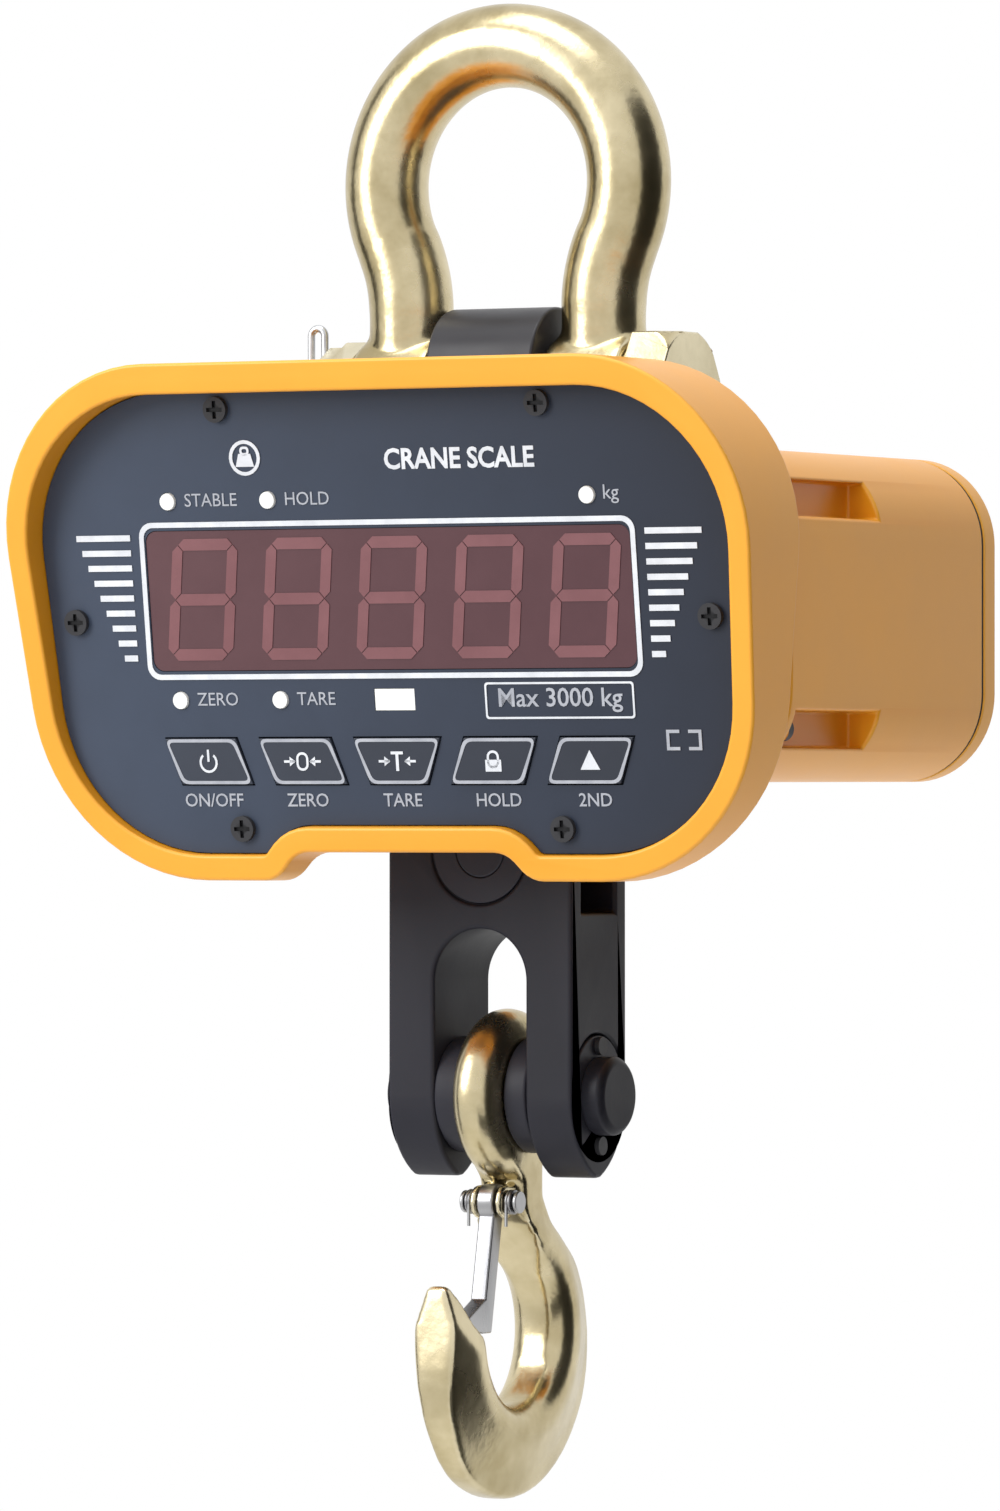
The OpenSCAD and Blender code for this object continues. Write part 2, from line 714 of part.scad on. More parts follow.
module display_board() color("#1f5a34") {
  at_panel() difference() {
    union() {
      slab(board_y, board_y + board_t) translate([0, board_v]) square([board_w, board_h], center = true);
      slab(board_y + board_t - seat, board_y + board_t + 5) translate([0, -2]) square([34, 7], center = true);
    }
    board_posts() bar_y(3.2, 0, board_y + 5);
  }
}

module board_posts() {
  for (x = [-pillar_x, pillar_x], v = [pillar_low, pillar_high]) translate([x, 0, v]) children();
}

module key_posts() {
  for (x = [-key_pillar_x, key_pillar_x]) translate([x, 0, key_v + 3]) children();
}

module key_board() color("#1f5a34") {
  at_panel() difference() {
    slab(key_board_y, key_board_y + key_board_t) intersection() {
      translate([0, key_v]) square([150, 13.6], center = true);
      polygon(cavity_outline(rim + 12.6, 2.6));
    }
    key_posts() bar_y(2.4, 0, key_board_y + 5);
  }
}

module board_pillars() color("#b9bcc0") {
  at_panel() board_posts() difference() {
    bar_y(5.6, panel_t + seat, board_y - seat);
    bar_y(2.6, panel_t + 3, board_y);
  }
  at_panel() key_posts() difference() {
    bar_y(4.2, panel_t + seat, key_board_y - seat);
    bar_y(2.2, panel_t + 1, key_board_y);
  }
}

module pillar_screws() color("#6d7075") {
  at_panel() board_posts() translate([0, board_y + board_t + seat, 0]) rotate([0, 0, 180]) screw(2.5, 6, 5, 1.8);
  at_panel() key_posts() translate([0, key_board_y + key_board_t + seat, 0]) rotate([0, 0, 180]) screw(2, 4, 3.6, 1);
}

module key_switches() color("#1c1c1e") {
  at_panel() for (i = [-2:2]) translate([i * key_pitch, 0, key_v]) {
    slab(stem_end + 1.5, key_board_y - seat) square([6, 6], center = true);
    bar_y(3.4, stem_end + key_travel + 0.2, stem_end + 1.6);
  }
}

module key_body(i) color("#343a43") {
  at_panel() translate([0, 0, key_v]) {
    slab(-key_rise, panel_t + 0.1) polygon(key_outline(i, 0));
    slab(panel_t + 0.1, panel_t + 1.1) polygon(key_outline(i, key_flange));
    translate([(i - 2) * key_pitch, 0, 0]) bar_y(stem_d, panel_t + 1, stem_end);
  }
}

module key_power() { key_body(0); }
module key_zero() { key_body(1); }
module key_tare() { key_body(2); }
module key_hold() { key_body(3); }
module key_second() { key_body(4); }

// ---- Electronics and battery ----

module main_board() color("#1f5a34") {
  at_rear() difference() {
    union() {
      slab(main_y, main_y + board_t) square([main_w, main_h], center = true);
      slab(main_y - 5, main_y + seat) translate([0, 9]) square([34, 7], center = true);
      slab(main_y - 3, main_y + seat) translate([-38, -6]) square([14, 14], center = true);
      slab(main_y - 7, main_y + seat) translate([38, -8]) square([16, 10], center = true);
      translate([-14, 0, -12]) bar_y(9, main_y - 8, main_y + seat);
    }
    corner_screws(main_hole_x, main_hole_z) bar_y(3.2, main_y - eps, 0);
  }
}

module board_standoffs() color("#b89a4a") {
  at_rear() corner_screws(main_hole_x, main_hole_z) difference() {
    translate([0, chassis_y - seat, 0]) rotate([90, 0, 0]) cylinder(d = 6, h = standoff_l - 2 * seat, $fn = 6);
    bar_y(2.6, main_y, 0);
  }
}

module board_screws() color("#6d7075") {
  at_rear() corner_screws(main_hole_x, main_hole_z) {
    translate([0, main_y - seat, 0]) screw(2.5, 5, 5, 1.8);
    translate([0, chassis_y + chassis_t + seat, 0]) rotate([0, 0, 180]) screw(2.5, 5, 5, 1.8);
  }
}

// Round wire along the axes through the given points, with rounded elbows
module wire(points, d) {
  for (i = [0:len(points) - 2]) {
    lo = [for (k = [0:2]) min(points[i][k], points[i + 1][k])];
    run = [for (k = [0:2]) abs(points[i + 1][k] - points[i][k])];
    translate(lo) rotate([run[1] > 0 ? -90 : 0, run[0] > 0 ? 90 : 0, 0]) cylinder(d = d, h = max(run));
  }
  for (i = [1:len(points) - 2]) translate(points[i]) sphere(d = d * 1.3);
}

module ribbon_cable() color("#8d9096") {
  y0 = -face_y + (board_y + board_t + 5) * cos(face_tilt) + 1.2;
  y1 = main_y - 5.2;
  z0 = face_z + (board_y + board_t + 5) * sin(face_tilt) - 2;
  z1 = rear_z + 9;
  t = 1;
  translate([15, 0, 0]) rotate([0, -90, 0]) linear_extrude(30)
    polygon([[z0, y0], [z0 + t, y0], [z1 + t, y1], [z1, y1]]);
}

module cell_cable() color("#3a3a3c") {
  wire([[cell_w / 2 - 0.3, 0, rear_z], [cable_x, 0, rear_z], [cable_x, main_y + board_t + seat, rear_z]], 2.6);
}

module battery_pack() color("#3b4a63") {
  translate([-battery_w / 2, battery_y, battery_z - battery_h / 2]) cube([battery_w, battery_d, battery_h]);
  for (x = [-1, 1]) translate([x * 14 - 3, battery_y + battery_d / 2 - 2, battery_z + battery_h / 2 - 0.1]) cube([6, 7, 5]);
}

module battery_tray() color("#a3a7ac") {
  z0 = battery_z - battery_h / 2 - tray_t - seat;
  foot = rear_low + wall + seat;
  translate([-battery_w / 2 - 1, battery_y - 0.5, z0]) cube([battery_w + 2, battery_d + 1, tray_t]);
  for (s = [-1, 1]) translate([s > 0 ? battery_w / 2 + 0.5 : -battery_w / 2 - 0.5 - tray_t, battery_y - 0.5, foot])
    cube([tray_t, battery_d + 1, z0 - foot + 16]);
}

module battery_lead() color("#a32824") {
  y = battery_y + battery_d / 2;
  top = battery_z + battery_h / 2 + 3;
  for (k = [0, 1]) wire([[17.1, y + 3 * k, top], [lead_x + 2.6 * k, y + 3 * k, top], [lead_x + 2.6 * k, y + 3 * k, lead_z],
                         [lead_x + 2.6 * k, main_y + board_t + seat, lead_z]], 2);
}

// ---- Hook block ----

// Pointed arches that round the block's two tails, seen from the side
function tail_side() =
  let (r = block_tail + 1.5,
       c = r - block_t / 2,
       a = asin(min(1, (block_tail - 0.6) / r)))
  concat([[-block_t / 2, link_z + 40], [-block_t / 2, hook_z]],
         [for (i = [1:10]) [c - r * cos(a * i / 10), hook_z - r * sin(a * i / 10)]],
         [for (i = [10:-1:1]) [-c + r * cos(a * i / 10), hook_z - r * sin(a * i / 10)]],
         [[block_t / 2, hook_z], [block_t / 2, link_z + 40]]);

module keeper_shape(w, h) {
  square([w, h - w], center = true);
  for (k = [-1, 1]) translate([0, k * (h - w) / 2]) circle(d = w);
}

// Obround plate shape on the block's side, between two stations along x
module keeper_slab(x0, x1, w, h) {
  translate([x0, 0, hook_z]) rotate([90, 0, 90]) linear_extrude(x1 - x0) keeper_shape(w, h);
}

module block_front() {
  shoulder = 9;
  top = link_z + lug_r + 0.5;
  polygon([[-block_w / 2, link_z + 4], [-block_w / 2, hook_z - block_tail - 2], [block_w / 2, hook_z - block_tail - 2],
           [block_w / 2, link_z + 4], [shoulder, top], [-shoulder, top]]);
}

module hook_block() color("#302f36") {
  difference() {
    intersection() {
      slab(-block_t, block_t) block_front();
      translate([-block_w, 0, 0]) rotate([90, 0, 90]) linear_extrude(2 * block_w) polygon(tail_side());
    }
    translate([0, 0, fork_top]) bar_y(fork_gap, -block_t, block_t);
    translate([-fork_r, -block_t, hook_z - 2 * block_tail]) cube([fork_gap, 2 * block_t, fork_top - hook_z + 2 * block_tail]);
    translate([-block_w, -upper_gap / 2, upper_floor]) cube([2 * block_w, upper_gap, 80]);
    translate([0, 0, link_z]) bar_y(link_pin_d + 2 * slip, -block_t, block_t);
    translate([0, 0, link_z]) bar_y(counter_d, -block_t, -block_t / 2 + counter_t);
    translate([0, 0, link_z]) bar_y(counter_d, block_t / 2 - counter_t, block_t);
    translate([0, 0, hook_z]) bar_x(hook_pin_d + 2 * slip, -block_w, block_w);
    keeper_slab(block_w / 2 - keeper_t, block_w, keeper_w + 2 * keeper_gap, keeper_h + 2 * keeper_gap);
    keeper_slab(-block_w, -block_w / 2 + keeper_t, keeper_w + 2 * keeper_gap, keeper_h + 2 * keeper_gap);
    for (k = [-1, 1]) translate([0, 0, hook_z + k * keeper_hole]) bar_x(3, -block_w / 2 - eps, -fork_r - 4);
    for (k = [-1, 1]) translate([0, 0, hook_z + k * keeper_hole]) bar_x(3, fork_r + 4, block_w / 2 + eps);
  }
}

module link_pin() color("#55565c") {
  neck = 13.6;
  stop = block_t / 2 - counter_t;
  translate([0, 0, link_z]) {
    bar_y(link_pin_d, -stop, stop);
    bar_y(neck, -block_t / 2 + 0.3, block_t / 2 - 0.3);
  }
}

module link_rings() color("#3b3b41") {
  for (s = [-1, 1]) translate([0, s * (block_t / 2 - counter_t + ring_t / 2 + seat), link_z]) difference() {
    bar_y(counter_d - 0.6, -ring_t / 2, ring_t / 2);
    bar_y(13.6 + 2 * slip, -ring_t, ring_t);
  }
}

module hook_pin() color("#3a3a40") {
  translate([0, 0, hook_z]) {
    bar_x(hook_pin_d, -block_w / 2 - 4, block_w / 2);
    bar_x(pin_head_d, block_w / 2, block_w / 2 + 4.6);
    translate([block_w / 2 + 4.6, 0, 0]) rotate([0, 90, 0]) cylinder(d1 = pin_head_d, d2 = pin_head_d - 3, h = 1.4);
  }
}

module hook_pin_ring() color("#4a4a50") {
  translate([0, 0, hook_z]) difference() {
    bar_x(pin_head_d, -block_w / 2 - 2.2, -block_w / 2 - seat);
    bar_x(hook_pin_d + 2 * slip, -block_w, 0);
  }
}

module pin_keepers() color("#2c2c31") {
  for (s = [0, 1]) mirror([s, 0, 0]) difference() {
    keeper_slab(block_w / 2 - keeper_t + seat, block_w / 2 - 2 * seat, keeper_w, keeper_h);
    translate([0, 0, hook_z]) bar_x(hook_pin_d + 2 * slip, 0, block_w);
    for (k = [-1, 1]) translate([0, 0, hook_z + k * keeper_hole]) bar_x(3.2, 0, block_w);
  }
}

module keeper_screws() color("#6d7075") {
  for (s = [0, 1], k = [-1, 1]) mirror([s, 0, 0]) translate([0, 0, hook_z + k * keeper_hole]) {
    bar_x(2.9, fork_r + 5, block_w / 2 + seat);
    bar_x(4.6, block_w / 2 + seat, block_w / 2 + 1.2);
  }
}

module hook_spacers() color("#232327") {
  for (s = [0, 1]) mirror([s, 0, 0]) translate([0, 0, hook_z]) difference() {
    bar_x(spacer_d, eye_t / 2 + spacer_gap, fork_r - 0.1);
    bar_x(hook_pin_d + 2 * slip, 0, block_w);
  }
}

// ---- Hook and latch ----

// Hook outline: neck, shoulder, bowl, point and outside
function hook_outline() =
  let (px = outer_c[0] - outer_r, by = bowl_c[1])
  concat(
    [[-9, 4], [-9, -15], [-2.5, -21.5], [-2.5, -31.5]],
    arc(bowl_c, bowl_r - 0.4, 45, -172, 22),
    [[px + 10.2, by + 3.5], [px + 7.7, by + 8.3], [px + 4.4, by + 12], [px + 2.6, by + 13.1], [px + 1, by + 11.6]],
    arc(outer_c, outer_r, 180, 405, 36),
    [[18.8, -37.6], [12, -32.4], [7.6, -25.5], [7.6, 4]]);

module hook_flat(t) {
  translate([-t / 2, 0, hook_z]) rotate([90, 0, 90]) linear_extrude(t) polygon(hook_outline());
}

// Egg-shaped section of the bowl, by radius, thickest a third of the way out
module hook_section() {
  h = hook_t / 2;
  r = bowl_r;
  polygon([[r, -h * 0.5], [r + 1.2, -h * 0.76], [r + 3.2, -h * 0.95], [r + 5.4, -h], [r + 8, -h * 0.97], [r + 12, -h * 0.8],
           [r + 17, -h * 0.58], [r + 23, -h * 0.38], [r + 23, h * 0.38], [r + 17, h * 0.58], [r + 12, h * 0.8],
           [r + 8, h * 0.97], [r + 5.4, h], [r + 3.2, h * 0.95], [r + 1.2, h * 0.76], [r, h * 0.5]]);
}

// What is cut away beside the hook's point, seen from the front
module tip_taper(s) {
  polygon([[s * 2.2, bowl_c[1] + 14], [s * hook_t * 0.52, bowl_c[1] - 5],
           [s * hook_t, bowl_c[1] - 5], [s * hook_t, bowl_c[1] + 14]]);
}

// Half section of the eye, narrowing to a blunt ridge at its rim
module eye_section() {
  h = eye_t / 2;
  polygon([[0, -h], [eye_r - 6, -h], [eye_r - 2.2, -h * 0.74], [eye_r - 0.5, -h * 0.42], [eye_r, -h * 0.14],
           [eye_r, h * 0.14], [eye_r - 0.5, h * 0.42], [eye_r - 2.2, h * 0.74], [eye_r - 6, h], [0, h]]);
}

module hook() color("#c9b584") {
  lug = latch_w / 2 + lug_gap + lug_side;
  difference() {
    union() {
      translate([0, 0, hook_z]) rotate([0, 90, 0]) rotate_extrude() eye_section();
      intersection() {
        hook_flat(2 * hook_t);
        translate([0, 0, hook_z]) slab(-20, 2 * outer_r)
          polygon([[-eye_t / 2, 5], [-eye_t / 2, -30], [-hook_t * 0.2, -66], [hook_t * 0.2, -66], [eye_t / 2, -30], [eye_t / 2, 5]]);
      }
      intersection() {
        hook_flat(2 * hook_t);
        translate([0, bowl_c[0], hook_z + bowl_c[1]]) rotate([0, 90, 0]) rotate_extrude() hook_section();
      }
      translate([0, latch_c[0], hook_z + latch_c[1]]) bar_x(9, -lug, lug);
      translate([-lug, latch_c[0], hook_z + latch_c[1] - 2]) cube([2 * lug, 6, 6.4]);
    }
    translate([0, 0, hook_z]) bar_x(hook_pin_d + 2 * running, -block_w, block_w);
    translate([0, 0, hook_z]) slab(-2 * outer_r, -19) for (s = [-1, 1]) tip_taper(s);
    translate([0, latch_c[0], hook_z + latch_c[1]]) bar_x(latch_pin_d + 2 * slip, -block_w, block_w);
    translate([0, latch_c[0], hook_z + latch_c[1]]) bar_x(11.2, -latch_w / 2 - lug_gap, latch_w / 2 + lug_gap);
  }
}

module latch() color("#a9acb1") {
  translate([0, latch_c[0], hook_z + latch_c[1]]) difference() {
    union() {
      bar_x(9, -latch_w / 2, latch_w / 2);
      translate([-latch_w / 2, 0, 0]) rotate([90, 0, 90]) linear_extrude(latch_w)
        polygon([[-2.6, 0], [-7.4, -latch_len + 8], [-18.5, -latch_len + 2.4], [-18.2, -latch_len + 1.2],
                 [-8.6, -latch_len - 0.4], [-4.2, -latch_len - 0.4], [2.2, 0]]);
    }
    bar_x(latch_pin_d + 2 * running, -latch_w, latch_w);
  }
}

module latch_pin() color("#8e8f93") {
  translate([0, latch_c[0], hook_z + latch_c[1]]) {
    bar_x(latch_pin_d, -7.4, 7.4);
    for (s = [-1, 1]) bar_x(5.6, min(s * 7, s * 8), max(s * 7, s * 8));
  }
}

// Two small coils on the latch pin, one each side, with a leg each
module latch_spring() color("#b4b6ba") {
  coil_r = 2.7;
  spring_d = 0.9;
  x0 = latch_w / 2 + lug_gap + lug_side + 0.6;
  translate([0, latch_c[0], hook_z + latch_c[1]]) for (s = [-1, 1]) {
    for (i = [0, 1]) translate([s * (x0 + i * 0.75), 0, 0]) rotate([0, 90, 0]) rotate_extrude() translate([coil_r, 0]) circle(d = spring_d);
    translate([s * x0, -coil_r, -6]) cylinder(d = spring_d * 0.9, h = 6);
  }
}

shackle_bow();
shackle_bolt();
shackle_nut();
shackle_split_pin();
load_cell();
gauge_covers();
strain_gauges();
top_seal();
bottom_seal();
chassis_plate();
chassis_screws();
front_housing();
housing_gasket();
rear_housing();
housing_screws();
rear_cover();
cover_gasket();
cover_screws();
battery_door();
door_gasket();
door_screws();
charge_socket();
socket_nut();
display_panel();
panel_gasket();
panel_screws();
display_window();
receiver_window();
led_digits();
indicator_leds();
display_board();
key_board();
board_pillars();
pillar_screws();
key_switches();
key_power();
key_zero();
key_tare();
key_hold();
key_second();
main_board();
board_standoffs();
board_screws();
ribbon_cable();
cell_cable();
battery_pack();
battery_tray();
battery_lead();
hook_block();
link_pin();
link_rings();
hook_pin();
hook_pin_ring();
pin_keepers();
keeper_screws();
hook_spacers();
hook();
latch();
latch_pin();
latch_spring();
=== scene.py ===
import json
import math
import bpy
import bmesh
from mathutils import Matrix, Vector
from mathutils.bvhtree import BVHTree


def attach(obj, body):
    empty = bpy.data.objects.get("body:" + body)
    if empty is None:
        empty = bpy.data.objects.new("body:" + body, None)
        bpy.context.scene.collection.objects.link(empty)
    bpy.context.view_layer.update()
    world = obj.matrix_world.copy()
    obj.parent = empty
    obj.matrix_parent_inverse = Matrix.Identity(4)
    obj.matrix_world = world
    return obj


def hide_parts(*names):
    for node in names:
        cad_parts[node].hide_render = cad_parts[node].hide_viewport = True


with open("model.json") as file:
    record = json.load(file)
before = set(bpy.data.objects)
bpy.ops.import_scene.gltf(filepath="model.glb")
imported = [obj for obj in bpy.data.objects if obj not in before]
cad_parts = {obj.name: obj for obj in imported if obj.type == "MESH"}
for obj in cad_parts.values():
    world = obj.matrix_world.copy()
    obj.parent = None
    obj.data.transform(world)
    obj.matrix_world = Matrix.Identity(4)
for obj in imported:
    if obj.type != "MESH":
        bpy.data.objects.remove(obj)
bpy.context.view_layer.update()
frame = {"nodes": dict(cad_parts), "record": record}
nodes = frame["nodes"]
print("stage: frame loaded,", len(nodes), "nodes")


# materials

def shaderBits(name):
    # a fresh material with its node tree and object coordinates
    mat = bpy.data.materials.new(name)
    mat.use_nodes = True
    tree = mat.node_tree
    bsdf = tree.nodes["Principled BSDF"]
    coords = tree.nodes.new("ShaderNodeTexCoord")
    return mat, tree, bsdf, coords


def noiseFrom(tree, coords, scale, detail=4.0, rough=0.55, stretch=(1, 1, 1)):
    mapping = tree.nodes.new("ShaderNodeMapping")
    mapping.inputs["Scale"].default_value = stretch
    tree.links.new(coords.outputs["Object"], mapping.inputs["Vector"])
    noise = tree.nodes.new("ShaderNodeTexNoise")
    noise.inputs["Scale"].default_value = scale
    noise.inputs["Detail"].default_value = detail
    noise.inputs["Roughness"].default_value = rough
    tree.links.new(mapping.outputs["Vector"], noise.inputs["Vector"])
    return noise


def toneMix(tree, factor, low, high, fromMin=0.35, fromMax=0.65):
    ramp = tree.nodes.new("ShaderNodeValToRGB")
    ramp.color_ramp.elements[0].position = fromMin
    ramp.color_ramp.elements[0].color = (*low, 1)
    ramp.color_ramp.elements[1].position = fromMax
    ramp.color_ramp.elements[1].color = (*high, 1)
    tree.links.new(factor, ramp.inputs["Fac"])
    return ramp


def spread(tree, factor, low, high, fromMin=0.3, fromMax=0.7):
    # maps a noise onto a range of values
    node = tree.nodes.new("ShaderNodeMapRange")
    node.inputs["From Min"].default_value = fromMin
    node.inputs["From Max"].default_value = fromMax
    node.inputs["To Min"].default_value = low
    node.inputs["To Max"].default_value = high
    tree.links.new(factor, node.inputs["Value"])
    return node


def addBump(tree, bsdf, heights):
    # heights: list of (socket, strength, distance), chained one on the next
    last = None
    for height, strength, distance in heights:
        bump = tree.nodes.new("ShaderNodeBump")
        bump.inputs["Strength"].default_value = strength
        bump.inputs["Distance"].default_value = distance
        tree.links.new(height, bump.inputs["Height"])
        if last:
            tree.links.new(last.outputs["Normal"], bump.inputs["Normal"])
        last = bump
    tree.links.new(last.outputs["Normal"], bsdf.inputs["Normal"])


def addEdgeWearAndSheen(tree, bsdf, colourSocket, edgeWearAndSheen, amount=0.6):
    # brightens convex edges a little: partly edge wear, partly a painted highlight along the edges
    geo = tree.nodes.new("ShaderNodeNewGeometry")
    edge = spread(tree, geo.outputs["Pointiness"], 0.0, amount, 0.515, 0.56)
    mix = tree.nodes.new("ShaderNodeMix")
    mix.data_type = "RGBA"
    mix.inputs["B"].default_value = (*edgeWearAndSheen, 1)
    tree.links.new(edge.outputs["Result"], mix.inputs["Factor"])
    tree.links.new(colourSocket, mix.inputs["A"])
    tree.links.new(mix.outputs["Result"], bsdf.inputs["Base Color"])


def makeFinish(name, low, high, metallic=0.0, rough=(0.35, 0.5), toneScale=40, grainScale=900,
               bump=0.05, bumpDistance=0.0002, coat=0.0, coatRough=0.1, stretch=(1, 1, 1), edgeWearAndSheen=None,
               specular=0.5):
    mat, tree, bsdf, coords = shaderBits(name)
    tone = noiseFrom(tree, coords, toneScale, 5.0, 0.6, stretch)
    grain = noiseFrom(tree, coords, grainScale, 3.0, 0.5, stretch)
    ramp = toneMix(tree, tone.outputs["Fac"], low, high)
    # bright edges: edge wear together with a painted highlight
    if edgeWearAndSheen:
        addEdgeWearAndSheen(tree, bsdf, ramp.outputs["Color"], edgeWearAndSheen)
    else:
        tree.links.new(ramp.outputs["Color"], bsdf.inputs["Base Color"])
    roughness = spread(tree, tone.outputs["Fac"], rough[0], rough[1])
    tree.links.new(roughness.outputs["Result"], bsdf.inputs["Roughness"])
    bsdf.inputs["Metallic"].default_value = metallic
    bsdf.inputs["Specular IOR Level"].default_value = specular
    bsdf.inputs["Coat Weight"].default_value = coat
    bsdf.inputs["Coat Roughness"].default_value = coatRough
    addBump(tree, bsdf, [(grain.outputs["Fac"], bump, bumpDistance),
                         (tone.outputs["Fac"], bump * 0.8, bumpDistance * 3)])
    return mat


finishes = {
    # the edge colours below are edge wear and a painted highlight on the rims and chamfers
    "hardware_gold": makeFinish("goldZinc", (0.42, 0.345, 0.185), (0.70, 0.61, 0.40),
                                metallic=1.0, rough=(0.20, 0.31),
                                toneScale=34, grainScale=420, bump=0.12, bumpDistance=0.0006,
                                edgeWearAndSheen=(0.94, 0.88, 0.68)),
    "zinc_steel": makeFinish("zincSteel", (0.50, 0.51, 0.53), (0.66, 0.67, 0.68),
                             metallic=1.0, rough=(0.3, 0.45),
                             toneScale=160, grainScale=1500, bump=0.04),
    "cell_steel": makeFinish("blackCell", (0.0050, 0.0050, 0.0065), (0.0100, 0.0100, 0.0125),
                             metallic=0.0, rough=(0.32, 0.44), specular=0.3,
                             toneScale=60, grainScale=900, bump=0.05, edgeWearAndSheen=(0.06, 0.06, 0.07)),
    "gauge_foil": makeFinish("gaugeFoil", (0.45, 0.25, 0.10), (0.60, 0.36, 0.16),
                             rough=(0.35, 0.5), toneScale=600),
    "seal_rubber": makeFinish("sealRubber", (0.012, 0.012, 0.012), (0.024, 0.024, 0.024), rough=(0.6, 0.75),
                              toneScale=120, grainScale=2200, bump=0.12),
    "housing_orange": makeFinish("orangeCoat", (0.78, 0.315, 0.010), (0.86, 0.350, 0.014),
                                 metallic=0.0, rough=(0.34, 0.44),
                                 toneScale=14, grainScale=650, bump=0.035, bumpDistance=0.0003, coat=0.12,
                                 coatRough=0.22, specular=0.35,
                                 edgeWearAndSheen=(0.97, 0.52, 0.09)),
    "dark_screws": makeFinish("darkScrews", (0.006, 0.006, 0.007), (0.014, 0.014, 0.016),
                              metallic=0.0, rough=(0.36, 0.5), specular=0.25,
                              toneScale=300, grainScale=1800, bump=0.05, edgeWearAndSheen=(0.05, 0.05, 0.055)),
    "black_plastic": makeFinish("blackPlastic", (0.016, 0.016, 0.017), (0.03, 0.03, 0.032), rough=(0.4, 0.55),
                                toneScale=140, grainScale=1600, bump=0.08),
    "panel_grey": None,
    "window_red": None,
    "lamp_white": makeFinish("lampWhite", (0.80, 0.80, 0.78), (0.90, 0.90, 0.88),
                             rough=(0.25, 0.35), toneScale=260,
                             grainScale=1500, bump=0.03, coat=0.5),
    "digit_plastic": makeFinish("digitBlock", (0.030, 0.014, 0.016), (0.045, 0.022, 0.024),
                                rough=(0.5, 0.6), toneScale=120),
    "board_green": makeFinish("boardGreen", (0.015, 0.10, 0.035), (0.03, 0.16, 0.06),
                              rough=(0.3, 0.45), toneScale=220,
                              grainScale=1300, coat=0.3),
    "key_grey": None,
    "brass_standoff": makeFinish("plainBrass", (0.62, 0.43, 0.16), (0.78, 0.58, 0.27),
                                 metallic=1.0, rough=(0.25, 0.4),
                                 toneScale=260),
    "cable_grey": makeFinish("cableGrey", (0.10, 0.10, 0.105), (0.16, 0.16, 0.165),
                             rough=(0.5, 0.6), toneScale=180),
    "lead_red": makeFinish("leadRed", (0.38, 0.02, 0.015), (0.50, 0.035, 0.025),
                           rough=(0.4, 0.5), toneScale=180),
    "battery_wrap": makeFinish("batteryWrap", (0.03, 0.06, 0.14), (0.05, 0.09, 0.20),
                               rough=(0.25, 0.4), toneScale=40, coat=0.4),
    "block_black": makeFinish("oxideSteel", (0.0050, 0.0050, 0.0085), (0.0095, 0.0092, 0.0150),
                              metallic=0.0, rough=(0.40, 0.54), specular=0.22,
                              toneScale=34, grainScale=700, bump=0.07, bumpDistance=0.0003,
                              edgeWearAndSheen=(0.055, 0.055, 0.07)),
    "latch_steel": makeFinish("latchSteel", (0.20, 0.20, 0.21), (0.36, 0.36, 0.37),
                              metallic=1.0, rough=(0.25, 0.4),
                              toneScale=90, grainScale=1400, bump=0.06, stretch=(1, 1, 0.25),
                              edgeWearAndSheen=(0.6, 0.6, 0.6)),
}


def makeSlate(name, left, right, halfWidth, roughness, coat):
    # dark printed sheet with painted light: a little lighter towards its left, where the light falls
    mat, tree, bsdf, coords = shaderBits(name)
    split = tree.nodes.new("ShaderNodeSeparateXYZ")
    tree.links.new(coords.outputs["Object"], split.inputs["Vector"])
    # painted light: the colour ramps lighter towards the left side
    paintedLightAcross = spread(tree, split.outputs["X"], 0.0, 1.0, -halfWidth, halfWidth)
    ramp = toneMix(tree, paintedLightAcross.outputs["Result"], left, right, 0.0, 1.0)
    tone = noiseFrom(tree, coords, 70, 4.0, 0.6)
    mix = tree.nodes.new("ShaderNodeMix")
    mix.data_type = "RGBA"
    mix.blend_type = "MULTIPLY"
    mix.inputs["Factor"].default_value = 1.0
    tree.links.new(ramp.outputs["Color"], mix.inputs["A"])
    cloud = toneMix(tree, tone.outputs["Fac"], (0.93, 0.93, 0.93), (1.0, 1.0, 1.0))
    tree.links.new(cloud.outputs["Color"], mix.inputs["B"])
    tree.links.new(mix.outputs["Result"], bsdf.inputs["Base Color"])
    gloss = spread(tree, tone.outputs["Fac"], roughness[0], roughness[1])
    tree.links.new(gloss.outputs["Result"], bsdf.inputs["Roughness"])
    bsdf.inputs["Coat Weight"].default_value = coat
    bsdf.inputs["Coat Roughness"].default_value = 0.12
    bsdf.inputs["Specular IOR Level"].default_value = 0.28
    grain = noiseFrom(tree, coords, 1400, 2.0, 0.5)
    addBump(tree, bsdf, [(grain.outputs["Fac"], 0.05, 0.0001)])
    return mat


# these slates carry painted light, lighter on their left
finishes["panel_grey"] = makeSlate("slateSheet", (0.044, 0.060, 0.096), (0.014, 0.019, 0.034), 0.09,
                                   (0.44, 0.54), 0.1)
finishes["key_grey"] = makeSlate("slateKey", (0.036, 0.044, 0.064), (0.018, 0.022, 0.034), 0.09, (0.40, 0.50),
                                 0.15)
finishes["window_red"] = makeSlate("redFilter", (0.100, 0.042, 0.049), (0.082, 0.030, 0.037), 0.07,
                                   (0.30, 0.40), 0.25)
inkWhite = makeFinish("whiteInk", (0.62, 0.64, 0.68), (0.74, 0.76, 0.80), rough=(0.4, 0.5), toneScale=200,
                      grainScale=1500, bump=0.03)
inkFaint = makeFinish("faintInk", (0.33, 0.345, 0.39), (0.42, 0.435, 0.48), rough=(0.4, 0.5), toneScale=200,
                      grainScale=1500, bump=0.03)
